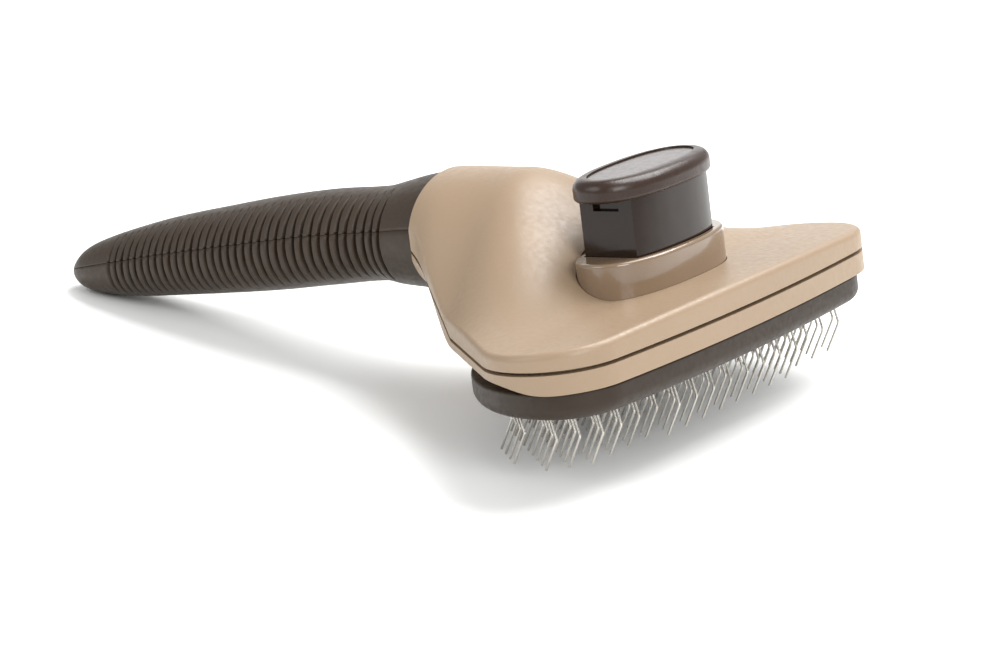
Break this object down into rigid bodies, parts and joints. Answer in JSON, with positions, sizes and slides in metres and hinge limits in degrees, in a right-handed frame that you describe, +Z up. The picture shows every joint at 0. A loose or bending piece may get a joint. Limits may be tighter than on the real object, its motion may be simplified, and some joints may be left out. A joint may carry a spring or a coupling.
{
  "type": "slicker brush",
  "caption": "Pet slicker brush with a fan-shaped head, bent steel wire pins, a grooved grip and a push button that slides a plate down the pins to strip off hair.",
  "frame": {"origin": "middle of the brush's box, on the flat surface that it rests on", "axes": "+X from the handle's end to the head's front edge, +Y across the head, +Z up; the brush lies as it rests, on the handle's end and the rear pins"},
  "size_m": [0.172, 0.114, 0.0534],
  "materials": {
    "tan_plastic": "fine matte moulded ABS",
    "tan_gloss": "glossy moulded plastic",
    "brown_gloss": "glossy dark plastic",
    "brown_satin": "satin grained dark plastic",
    "brown_matte": "satin dark plastic",
    "grip": "soft matte rubber skin",
    "steel": "bright drawn stainless wire",
    "cushion": "matte",
    "inner_plastic": "plain moulded"
  },
  "bodies": {
    "head": {"upper_casing": "tan_plastic", "lower_casing": "tan_plastic", "guide_collar": "tan_gloss", "pin_cushion": "cushion", "pin_base": "inner_plastic", "base_cover": "inner_plastic", "base_screws": "steel", "casing_screws": "steel", "neck_spigot": "tan_plastic", "handle_upper_half": "grip", "handle_lower_half": "grip", "handle_screws": "steel", "return_spring_near": "steel", "return_spring_far": "steel", "pin_row_01": "steel", "pin_row_02": "steel", "pin_row_03": "steel", "pin_row_04": "steel", "pin_row_05": "steel", "pin_row_06": "steel", "pin_row_07": "steel", "pin_row_08": "steel", "pin_row_09": "steel", "pin_row_10": "steel", "pin_row_11": "steel", "pin_row_12": "steel"},
    "button": {"button_cap": "brown_satin", "cap_inlay": "brown_satin", "button_stem": "brown_gloss", "push_posts": "inner_plastic", "post_screws": "steel", "wiper_plate": "brown_matte"}
  },
  "joints": [
    {"name": "button_press", "type": "slide", "parent": "head", "child": "button", "axis": [0.163, 0, -0.9866], "range_m": [0, 0.01], "stiffness_N_per_m": 600, "springref_m": -0.006, "deforming": ["return_spring_near", "return_spring_far"]}
  ]
}
